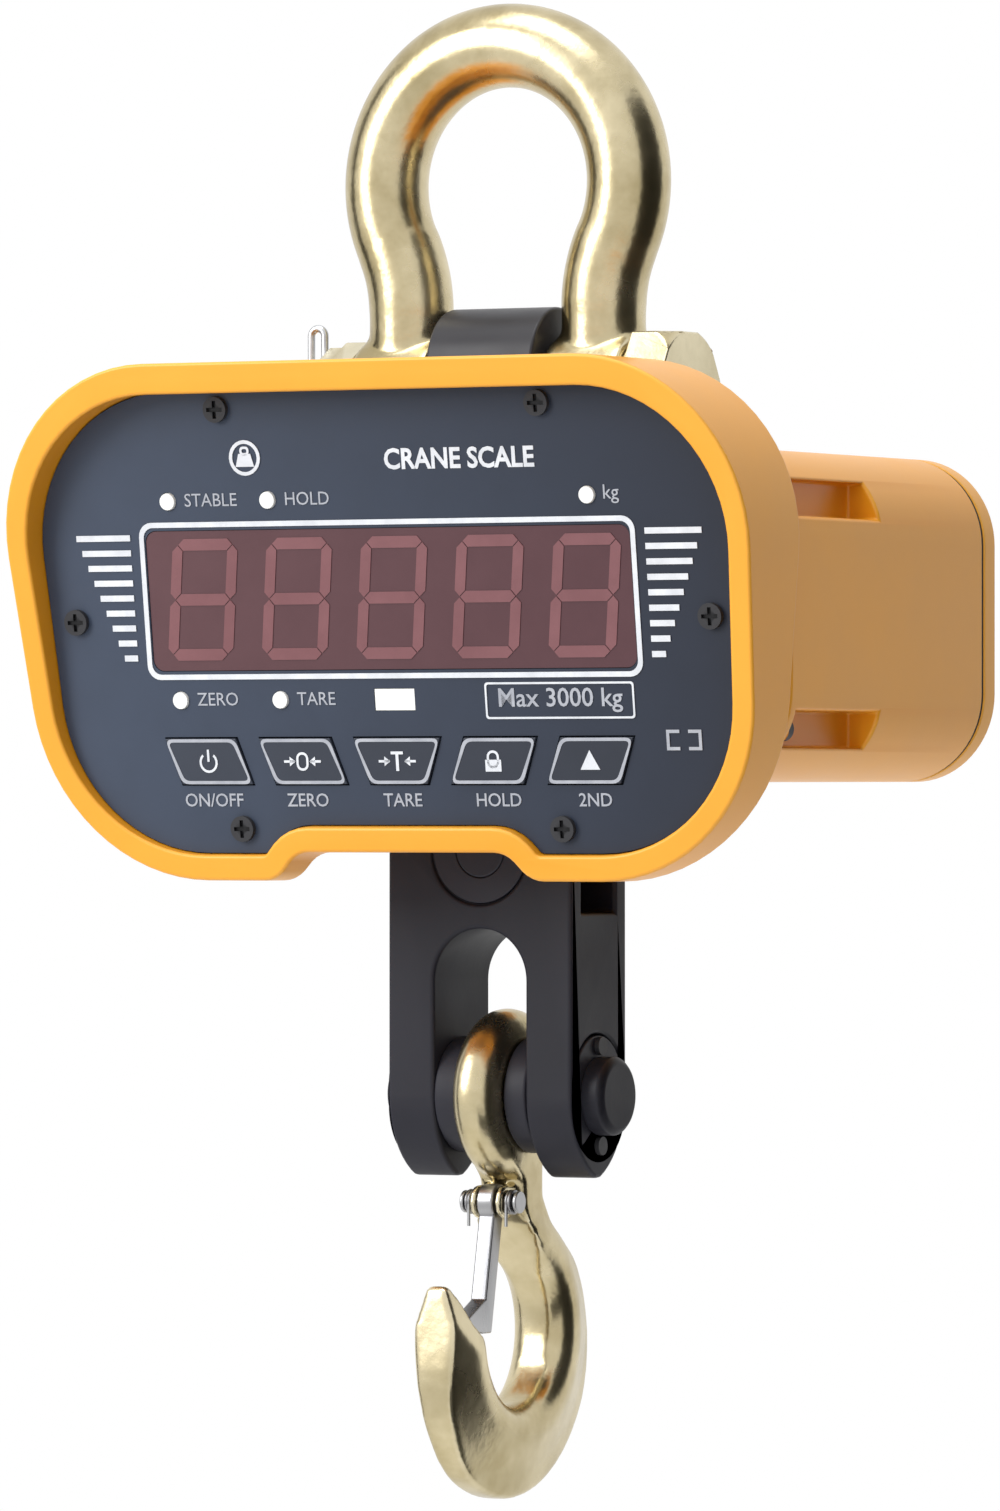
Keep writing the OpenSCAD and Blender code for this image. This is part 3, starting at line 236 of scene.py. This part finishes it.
inkSegment = makeFinish("segmentPale", (0.165, 0.052, 0.060), (0.190, 0.062, 0.071), rough=(0.3, 0.4),
                        toneScale=90, grainScale=900,
                        bump=0.02, coat=0.4)
print("stage: finishes made,", len(finishes) + 3)


# mesh helpers

def storeMesh(name, bm, material, body, replaced=(), smoothAngle=40, weighted=True):
    # turns a bmesh into a finished piece that sits at the origin
    bmesh.ops.recalc_face_normals(bm, faces=bm.faces)
    mesh = bpy.data.meshes.new(name)
    bm.to_mesh(mesh)
    bm.free()
    for face in mesh.polygons:
        face.use_smooth = True
    mesh.set_sharp_from_angle(angle=math.radians(smoothAngle))
    mesh.materials.append(material)
    piece = bpy.data.objects.new(name, mesh)
    bpy.context.scene.collection.objects.link(piece)
    if weighted:
        normals = piece.modifiers.new("normals", "WEIGHTED_NORMAL")
        normals.keep_sharp = True
    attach(piece, body)
    if replaced:
        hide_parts(*replaced)
    return piece


def copyNode(source):
    bm = bmesh.new()
    bm.from_mesh(nodes[source].data)
    bmesh.ops.remove_doubles(bm, verts=bm.verts, dist=0.000004)
    bmesh.ops.dissolve_limit(bm, angle_limit=math.radians(0.6), verts=bm.verts, edges=bm.edges)
    return bm


def sharpEdges(bm, degrees=28):
    limit = math.radians(degrees)
    return [e for e in bm.edges if len(e.link_faces) == 2 and e.calc_face_angle(0) > limit]


def pullBack(bm, surface, reach):
    # a corner that the bevel threw off the shape goes back onto it
    for vert in bm.verts:
        near, _, _, away = surface.find_nearest(vert.co)
        if away > reach:
            vert.co = near
    bmesh.ops.dissolve_degenerate(bm, dist=0.000002, edges=bm.edges)


def softNode(source, width, body, slotName, segments=2, degrees=28, smoothAngle=42):
    # the CAD shape with its edges broken
    bm = copyNode(source)
    surface = BVHTree.FromBMesh(bm)
    edges = sharpEdges(bm, degrees)
    bmesh.ops.bevel(bm, geom=edges, offset=width, offset_type="OFFSET", segments=segments, profile=0.5,
                    affect="EDGES", clamp_overlap=False, material=-1)
    pullBack(bm, surface, width * 0.6)  # a true bevel stays well inside this
    return storeMesh(source + "_soft", bm, finishes[slotName], body, (source,), smoothAngle)


def forgedNode(source, voxel, passes, body, slotName, factor=0.6):
    # the CAD shape drawn together into one forging: remeshed, then relaxed
    bm = copyNode(source)
    mesh = bpy.data.meshes.new(source + "_raw")
    bm.to_mesh(mesh)
    bm.free()
    temp = bpy.data.objects.new(source + "_raw", mesh)
    bpy.context.scene.collection.objects.link(temp)
    grid = temp.modifiers.new("grid", "REMESH")
    grid.mode = "VOXEL"
    grid.voxel_size = voxel
    relax = temp.modifiers.new("relax", "SMOOTH")
    relax.factor = factor
    relax.iterations = passes
    bpy.context.view_layer.update()
    baked = bpy.data.meshes.new_from_object(temp.evaluated_get(bpy.context.evaluated_depsgraph_get()))
    bm = bmesh.new()
    bm.from_mesh(baked)
    bpy.data.objects.remove(temp)
    bpy.data.meshes.remove(mesh)
    bpy.data.meshes.remove(baked)
    return storeMesh(source + "_forged", bm, finishes[slotName], body, (source,), 180, False)


# hanger

forgedNode("shackle_bow", 0.0008, 12, "shackle", "hardware_gold")
softNode("shackle_bolt", 0.0006, "shackle", "hardware_gold")
softNode("shackle_nut", 0.0005, "shackle", "hardware_gold")
softNode("shackle_split_pin", 0.0001, "shackle", "zinc_steel", degrees=50, smoothAngle=60)
print("stage: hanger done")

# castings

softNode("front_housing", 0.0009, "scale_body", "housing_orange", segments=3, degrees=30)
softNode("rear_housing", 0.0009, "scale_body", "housing_orange", segments=3, degrees=30)
softNode("rear_cover", 0.0004, "scale_body", "housing_orange", degrees=60)
softNode("battery_door", 0.0003, "scale_body", "housing_orange", degrees=60)
softNode("load_cell", 0.0008, "scale_body", "cell_steel")
print("stage: castings done")

# block, hook, latch

softNode("hook_block", 0.0011, "hook_block", "block_black", segments=3)
softNode("hook_spacers", 0.0007, "hook_block", "block_black")
softNode("hook_pin", 0.0005, "hook_block", "block_black")
softNode("hook_pin_ring", 0.0004, "hook_block", "block_black")
softNode("pin_keepers", 0.0004, "hook_block", "block_black")
softNode("link_pin", 0.0005, "hook_block", "block_black")
softNode("link_rings", 0.0003, "hook_block", "block_black")
forgedNode("hook", 0.0007, 14, "hook", "hardware_gold")
softNode("latch", 0.0005, "latch", "latch_steel")
softNode("latch_pin", 0.0003, "hook", "latch_steel")
print("stage: hook set done")

# panel print

panelSettings = {
    "centre": (0.0, -0.060, -0.1285),
    "tilt": 7.5,
    "inkLift": 0.00012,
    "windowWidth": 0.1365, "windowHeight": 0.0365, "windowLine": 0.0013,
    "digitPitch": 0.0268, "digitHeight": 0.0302, "digitWidth": 0.0186, "segment": 0.0029, "slant": 7.0,
    "digitShift": (0.001, 0.0003), "digitSink": 0.00012,
    "barCount": 9, "barPitch": 0.00374, "barHeight": 0.0015,
    "barTop": 0.0158, "barInner": 0.0722, "barReach": 0.0877, "barReachLow": 0.0760,
    "capacityPlace": (0.0460, -0.0252), "keyWordHeight": 0.0033,
    "textScale": 1.4, "textBody": 0.00007,
}
tilt = math.radians(panelSettings["tilt"])
panelFrame = Matrix.Translation(panelSettings["centre"]) @ Matrix.Rotation(tilt, 4, "X")


def toPanel(bm, lift=0.0):
    # flat work drawn in x and y becomes x and height on the panel, standing lift in front of it
    turn = Matrix.Rotation(math.radians(90), 4, "X")
    place = panelFrame @ Matrix.Translation((0, -lift, 0)) @ turn
    bmesh.ops.transform(bm, matrix=place, verts=bm.verts)


def addShape(bm, corners, thickness=0.00014):
    # one flat printed shape from its corners, with a little body
    verts = [bm.verts.new((x, y, 0)) for x, y in corners]
    face = bm.faces.new(verts)
    out = bmesh.ops.extrude_face_region(bm, geom=[face])
    raised = [g for g in out["geom"] if isinstance(g, bmesh.types.BMVert)]
    bmesh.ops.translate(bm, vec=(0, 0, thickness), verts=raised)


def addFrameShape(bm, outer, inner, thickness=0.00014):
    # a closed printed outline between two loops with the same count
    a = [bm.verts.new((x, y, 0)) for x, y in outer]
    b = [bm.verts.new((x, y, 0)) for x, y in inner]
    count = len(a)
    faces = [bm.faces.new((a[i], a[(i + 1) % count], b[(i + 1) % count], b[i])) for i in range(count)]
    out = bmesh.ops.extrude_face_region(bm, geom=faces)
    raised = [g for g in out["geom"] if isinstance(g, bmesh.types.BMVert)]
    bmesh.ops.translate(bm, vec=(0, 0, thickness), verts=raised)


def roundLoop(width, height, radius, steps=6):
    loop = []
    for cx, cy, start in ((1, 1, 0), (-1, 1, 90), (-1, -1, 180), (1, -1, 270)):
        for i in range(steps + 1):
            a = math.radians(start + 90 * i / steps)
            loop.append((cx * (width / 2 - radius) + radius * math.cos(a),
                         cy * (height / 2 - radius) + radius * math.sin(a)))
    return loop


def shifted(loop, x, y, scale=1.0):
    return [(x + px * scale, y + py * scale) for px, py in loop]


keySettings = {
    "pitch": 0.0268, "halfWidth": 0.0101, "halfHeight": 0.0057, "lean": 0.0021,
    "height": -0.0399, "wordHeight": -0.0497, "wordShift": 0.0006,
    "rise": 0.0006, "inkLift": 0.00004, "edge": 0.00025,
}


def keyLoop(index, grow):
    x = (index - 2) * keySettings["pitch"]
    half, tall = keySettings["halfWidth"] + grow, keySettings["halfHeight"] + grow
    lean = keySettings["lean"]
    left = lean if index <= 2 else -lean
    right = -lean if index >= 2 else lean
    if index == 2:
        return [(x - half - lean, tall), (x + half + lean, tall), (x + half - lean, -tall),
                (x - half + lean, -tall)]
    return [(x - half - left, tall), (x + half - left, tall), (x + half + left, -tall),
            (x - half + left, -tall)]


def roundedCorners(loop, radius, steps=4):
    # rounds each corner of a loop with short arcs
    result = []
    count = len(loop)
    for i in range(count):
        here = Vector(loop[i])
        before = (Vector(loop[i - 1]) - here).normalized()
        after = (Vector(loop[(i + 1) % count]) - here).normalized()
        for s in range(steps + 1):
            t = s / steps
            p = here + before * radius * (1 - t) ** 2 + after * radius * t ** 2
            result.append((p.x, p.y))
    return result


def addWord(words, x, y, height, material, name, bold=0.0, align="CENTER", wide=1.0):
    # generic lettering, made a mesh, then laid on the panel
    curve = bpy.data.curves.new(name, "FONT")
    curve.body = words
    curve.size = height * panelSettings["textScale"]
    curve.offset = bold
    curve.extrude = panelSettings["textBody"]
    curve.align_x = align
    curve.align_y = "CENTER"
    curve.resolution_u = 3
    temp = bpy.data.objects.new(name + "_text", curve)
    bpy.context.scene.collection.objects.link(temp)
    bpy.context.view_layer.update()
    mesh = bpy.data.meshes.new_from_object(temp.evaluated_get(bpy.context.evaluated_depsgraph_get()))
    bm = bmesh.new()
    bm.from_mesh(mesh)
    bpy.data.objects.remove(temp)
    bpy.data.curves.remove(curve)
    bpy.data.meshes.remove(mesh)
    bmesh.ops.remove_doubles(bm, verts=bm.verts, dist=0.000001)
    bmesh.ops.scale(bm, vec=(wide, 1, 1), verts=bm.verts)
    bmesh.ops.translate(bm, vec=(x, y, 0), verts=bm.verts)
    toPanel(bm, panelSettings["inkLift"])
    return storeMesh(name, bm, material, "scale_body", (), 30, False)


white = bmesh.new()
# window outline
ww, wh, line = panelSettings["windowWidth"], panelSettings["windowHeight"], panelSettings["windowLine"]
addFrameShape(white, roundLoop(ww + 2 * line, wh + 2 * line, 0.0036), roundLoop(ww, wh, 0.0026))
# tapering bars on both sides
for i in range(panelSettings["barCount"]):
    y = panelSettings["barTop"] - i * panelSettings["barPitch"]
    t = i / (panelSettings["barCount"] - 1)
    h = panelSettings["barHeight"] / 2
    reach = panelSettings["barReach"] + (panelSettings["barReachLow"] - panelSettings["barReach"]) * t
    for side in (-1, 1):
        a, b = sorted((side * panelSettings["barInner"], side * reach))
        addShape(white, [(a, y - h), (b, y - h), (b, y + h), (a, y + h)])
# capacity box
addFrameShape(white, shifted(roundLoop(0.0412, 0.0090, 0.0008, 3), *panelSettings["capacityPlace"]),
              shifted(roundLoop(0.0402, 0.0080, 0.0006, 3), *panelSettings["capacityPlace"]))
toPanel(white, panelSettings["inkLift"])
storeMesh("panel_print", white, inkWhite, "scale_body", (), 30, False)

addWord("CRANE SCALE", 0.0222, 0.0340, 0.0050, inkWhite, "print_title", bold=0.00018, wide=0.94)
addWord("STABLE", -0.0560, 0.0248, 0.0033, inkFaint, "print_stable", align="LEFT")
addWord("HOLD", -0.0275, 0.0248, 0.0033, inkFaint, "print_hold_lamp", align="LEFT")
addWord("kg", 0.0612, 0.0252, 0.0036, inkFaint, "print_unit", align="LEFT")
addWord("ZERO", -0.0560, -0.0246, 0.0033, inkFaint, "print_zero_lamp", align="LEFT")
addWord("TARE", -0.0275, -0.0246, 0.0033, inkFaint, "print_tare_lamp", align="LEFT")
addWord("Max 3000 kg", panelSettings["capacityPlace"][0], -0.0247, 0.0046, inkFaint, "print_capacity",
        bold=0.00006, wide=1.04)

# a plain weight sign where a maker's sign would stand
sign = bmesh.new()
addFrameShape(sign, shifted(roundLoop(0.0088, 0.0088, 0.0044, 6), -0.0379, 0.0352),
              shifted(roundLoop(0.0070, 0.0070, 0.0035, 6), -0.0379, 0.0352))
addShape(sign, [(-0.0405, 0.0330), (-0.0353, 0.0330), (-0.0362, 0.0362), (-0.0396, 0.0362)])
addFrameShape(sign, shifted(roundLoop(0.0026, 0.0022, 0.0009, 3), -0.0379, 0.0369),
              shifted(roundLoop(0.0014, 0.0010, 0.0004, 3), -0.0379, 0.0369))
toPanel(sign, panelSettings["inkLift"])
storeMesh("panel_sign", sign, inkWhite, "scale_body", (), 30, False)

# small plain mark on the right: two corner brackets facing each other
mark = bmesh.new()
for side in (-1, 1):
    cx = 0.0795 + side * 0.0030
    addShape(mark,
             [(cx - 0.0018, -0.0375), (cx + 0.0018, -0.0375), (cx + 0.0018, -0.0367), (cx - 0.0018, -0.0367)])
    addShape(mark,
             [(cx - 0.0018, -0.0333), (cx + 0.0018, -0.0333), (cx + 0.0018, -0.0325), (cx - 0.0018, -0.0325)])
    edge = cx + side * 0.0014
    addShape(mark,
             [(edge - 0.0004, -0.0367), (edge + 0.0004, -0.0367), (edge + 0.0004, -0.0333), (edge - 0.0004, -0.0333)])
toPanel(mark, panelSettings["inkLift"])
storeMesh("panel_mark", mark, inkFaint, "scale_body", (), 30, False)

# digits

def segmentLoops(cx, cy, width, height, thick, slant):
    # six-cornered bars of one figure eight, leaning to the right
    lean = math.tan(math.radians(slant))
    gap = thick * 0.06
    half, tall = width / 2 - thick / 2, height / 2 - thick / 2
    loops = []
    for y in (-tall, 0, tall):
        a, b, t = -half + gap, half - gap, thick / 2
        loops.append([(a, y), (a + t, y - t), (b - t, y - t), (b, y), (b - t, y + t), (a + t, y + t)])
    for x in (-half, half):
        for low, high in ((-tall, 0), (0, tall)):
            a, b, t = low + gap, high - gap, thick / 2
            loops.append([(x, a), (x + t, a + t), (x + t, b - t), (x, b), (x - t, b - t), (x - t, a + t)])
    return [[(cx + x + y * lean, cy + y) for x, y in loop] for loop in loops]


digits = bmesh.new()
for i in range(5):
    cx = panelSettings["digitShift"][0] + (i - 2) * panelSettings["digitPitch"]
    for loop in segmentLoops(cx, panelSettings["digitShift"][1], panelSettings["digitWidth"],
                             panelSettings["digitHeight"], panelSettings["segment"], panelSettings["slant"]):
        addShape(digits, loop, 0.0001)
toPanel(digits)
bmesh.ops.translate(digits, vec=(0, panelSettings["digitSink"], 0), verts=digits.verts)
storeMesh("digit_segments", digits, inkSegment, "scale_body", (), 30, False)
print("stage: panel print done")

# keys

keyNames = ["power", "zero", "tare", "hold", "second"]
keyWords = ["ON/OFF", "ZERO", "TARE", "HOLD", "2ND"]
keyHeight = keySettings["height"]
keyLift = keySettings["rise"] + keySettings["inkLift"]


def iconShapes(bm, index):
    x, y = (index - 2) * keySettings["pitch"], keyHeight
    if index == 0:  # power sign: open ring and a stroke
        outer, inner = [], []
        for i in range(15):
            a = math.radians(130 + 280 * i / 14)
            outer.append((x + 0.0026 * math.cos(a), y - 0.0002 + 0.0026 * math.sin(a)))
            inner.append((x + 0.0020 * math.cos(a), y - 0.0002 + 0.0020 * math.sin(a)))
        addShape(bm, outer + inner[::-1])
        addShape(bm, [(x - 0.0003, y), (x + 0.0003, y), (x + 0.0003, y + 0.0030), (x - 0.0003, y + 0.0030)])
    if index in (1, 2):  # arrows pointing in at a nought or a letter T
        for side in (-1, 1):
            a, b = sorted((x + side * 0.0022, x + side * 0.0052))
            addShape(bm, [(a, y - 0.0003), (b, y - 0.0003), (b, y + 0.0003), (a, y + 0.0003)])
            tip = [(x + side * 0.0020, y), (x + side * 0.0036, y - 0.0012), (x + side * 0.0036, y + 0.0012)]
            addShape(bm, tip if side > 0 else tip[::-1])
    if index == 1:
        addFrameShape(bm, shifted(roundLoop(0.0034, 0.0046, 0.0016, 4), x, y),
                      shifted(roundLoop(0.0022, 0.0034, 0.0010, 4), x, y))
    if index == 2:
        addShape(bm, [(x - 0.0017, y + 0.0017), (x + 0.0017, y + 0.0017),
                      (x + 0.0017, y + 0.0024), (x - 0.0017, y + 0.0024)])
        addShape(bm, [(x - 0.0004, y - 0.0024), (x + 0.0004, y - 0.0024),
                      (x + 0.0004, y + 0.0017), (x - 0.0004, y + 0.0017)])
    if index == 3:  # padlock
        addShape(bm, [(x - 0.0022, y - 0.0026), (x + 0.0022, y - 0.0026),
                      (x + 0.0022, y + 0.0003), (x - 0.0022, y + 0.0003)])
        addFrameShape(bm, shifted(roundLoop(0.0034, 0.0044, 0.0016, 4), x, y + 0.0004),
                      shifted(roundLoop(0.0022, 0.0032, 0.0010, 4), x, y + 0.0004))
    if index == 4:  # triangle
        addShape(bm, [(x - 0.0027, y - 0.0022), (x + 0.0027, y - 0.0022), (x, y + 0.0026)])


for i, keyName in enumerate(keyNames):
    body = "key_" + keyName
    softNode(body, keySettings["edge"], body, "key_grey", degrees=40)
    ink = bmesh.new()
    outer = [(x, y + keyHeight) for x, y in roundedCorners(keyLoop(i, -0.0001), 0.0020)]
    inner = [(x, y + keyHeight) for x, y in roundedCorners(keyLoop(i, -0.0009), 0.0015)]
    addFrameShape(ink, outer, inner, 0.00008)
    toPanel(ink, keyLift)
    storeMesh(body + "_outline", ink, inkFaint, body, (), 30, False)
    icon = bmesh.new()
    iconShapes(icon, i)
    toPanel(icon, keyLift)
    storeMesh(body + "_icon", icon, inkWhite, body, (), 30, False)
    wordAcross = (i - 2) * keySettings["pitch"] + keySettings["wordShift"]
    addWord(keyWords[i], wordAcross, keySettings["wordHeight"], panelSettings["keyWordHeight"],
            inkFaint, "print_" + keyName, bold=0.00003)
print("stage: keys done")

# carried nodes take their finish

slotOf = {s["node"]: s["material_slot"] for s in frame["record"]["subparts"]}
for nodeName, piece in nodes.items():
    piece.data.materials.clear()
    piece.data.materials.append(finishes[slotOf[nodeName]])

# floor, light, camera

stageSettings = {"drop": -2.2, "radius": 9.0}
floor = bmesh.new()
bmesh.ops.create_circle(floor, cap_ends=True, radius=stageSettings["radius"], segments=96)
bmesh.ops.translate(floor, vec=(0, 0, stageSettings["drop"]), verts=floor.verts)
floorMesh = bpy.data.meshes.new("paleFloor")
floor.to_mesh(floorMesh)
floor.free()
paperFinish = makeFinish("palePaper", (0.93, 0.93, 0.93), (0.96, 0.96, 0.96), rough=(0.9, 1.0),
                         toneScale=3, grainScale=60, bump=0.02)
floorMesh.materials.append(paperFinish)
floorPiece = bpy.data.objects.new("paleFloor", floorMesh)
bpy.context.scene.collection.objects.link(floorPiece)

world = bpy.data.worlds.new("softRoom")
bpy.context.scene.world = world
world.use_nodes = True
world.node_tree.nodes["Background"].inputs["Color"].default_value = (1.0, 1.0, 1.0, 1)
world.node_tree.nodes["Background"].inputs["Strength"].default_value = 1.0


def addLamp(name, place, aim, size, power, tall):
    data = bpy.data.lights.new(name, "AREA")
    data.shape = "RECTANGLE"
    data.size, data.size_y = size, tall
    data.energy = power
    lamp = bpy.data.objects.new(name, data)
    lamp.location = place
    lamp.rotation_mode = "QUATERNION"
    lamp.rotation_quaternion = (Vector(aim) - Vector(place)).to_track_quat("-Z", "Y")
    bpy.context.scene.collection.objects.link(lamp)
    return lamp


lamps = {
    "keySoftbox": {"place": (-1.3, -1.7, 0.7), "aim": (0, 0, -0.15), "size": 0.9, "power": 30, "tall": 1.4},
    "topSoftbox": {"place": (-0.2, -0.5, 1.6), "aim": (0, 0, -0.1), "size": 1.1, "power": 14, "tall": 1.1},
}
for lampName, lamp in lamps.items():
    addLamp(lampName, lamp["place"], lamp["aim"], lamp["size"], lamp["power"], lamp["tall"])

# dark cards out of the camera's sight give the metal its dark streaks
cards = {
    "rightCard": {"turn": 96, "away": 1.0, "wide": 1.35, "tall": 2.2, "height": -0.15},
    "leftCard": {"turn": -80, "away": 1.3, "wide": 0.40, "tall": 1.7, "height": -0.15},
    "lowCard": {"turn": 60, "away": 0.9, "wide": 1.0, "tall": 0.5, "height": -0.85},
}
cardFinish = makeFinish("blackCard", (0.006, 0.006, 0.006), (0.010, 0.010, 0.010), rough=(0.9, 1.0),
                        toneScale=5, grainScale=80, bump=0.02)
for cardName, card in cards.items():
    sheet = bmesh.new()
    bmesh.ops.create_grid(sheet, x_segments=1, y_segments=1, size=0.5)
    bmesh.ops.scale(sheet, vec=(card["wide"], card["tall"], 1), verts=sheet.verts)
    bmesh.ops.rotate(sheet, cent=(0, 0, 0), matrix=Matrix.Rotation(math.radians(90), 3, "X"),
                     verts=sheet.verts)
    bmesh.ops.translate(sheet, vec=(0, -card["away"], card["height"]), verts=sheet.verts)
    bmesh.ops.rotate(sheet, cent=(0, 0, 0), matrix=Matrix.Rotation(math.radians(card["turn"]), 3, "Z"),
                     verts=sheet.verts)
    sheetMesh = bpy.data.meshes.new(cardName)
    sheet.to_mesh(sheetMesh)
    sheet.free()
    sheetMesh.materials.append(cardFinish)
    cardPiece = bpy.data.objects.new(cardName, sheetMesh)
    cardPiece.visible_camera = False
    bpy.context.scene.collection.objects.link(cardPiece)

bpy.context.scene.view_settings.view_transform = "Standard"

viewSettings = {"turn": 29, "away": 2.55, "height": -0.1805, "aside": 0.0018, "lens": 243.7, "shift": 0.0372}
azimuth = math.radians(viewSettings["turn"])
distance = viewSettings["away"]
cameraData = bpy.data.cameras.new("viewCamera")
cameraData.sensor_width = 36
cameraData.lens = viewSettings["lens"]
cameraData.shift_y = viewSettings["shift"]
cameraData.clip_start, cameraData.clip_end = 0.1, 30
camera = bpy.data.objects.new("viewCamera", cameraData)
rightward = Vector((math.cos(azimuth), math.sin(azimuth), 0))
stand = Vector((math.sin(azimuth) * distance, -math.cos(azimuth) * distance, viewSettings["height"]))
camera.location = stand - rightward * viewSettings["aside"]
camera.rotation_euler = (math.radians(90), 0, azimuth)
bpy.context.scene.collection.objects.link(camera)
bpy.context.scene.camera = camera
print("stage: light and camera set")
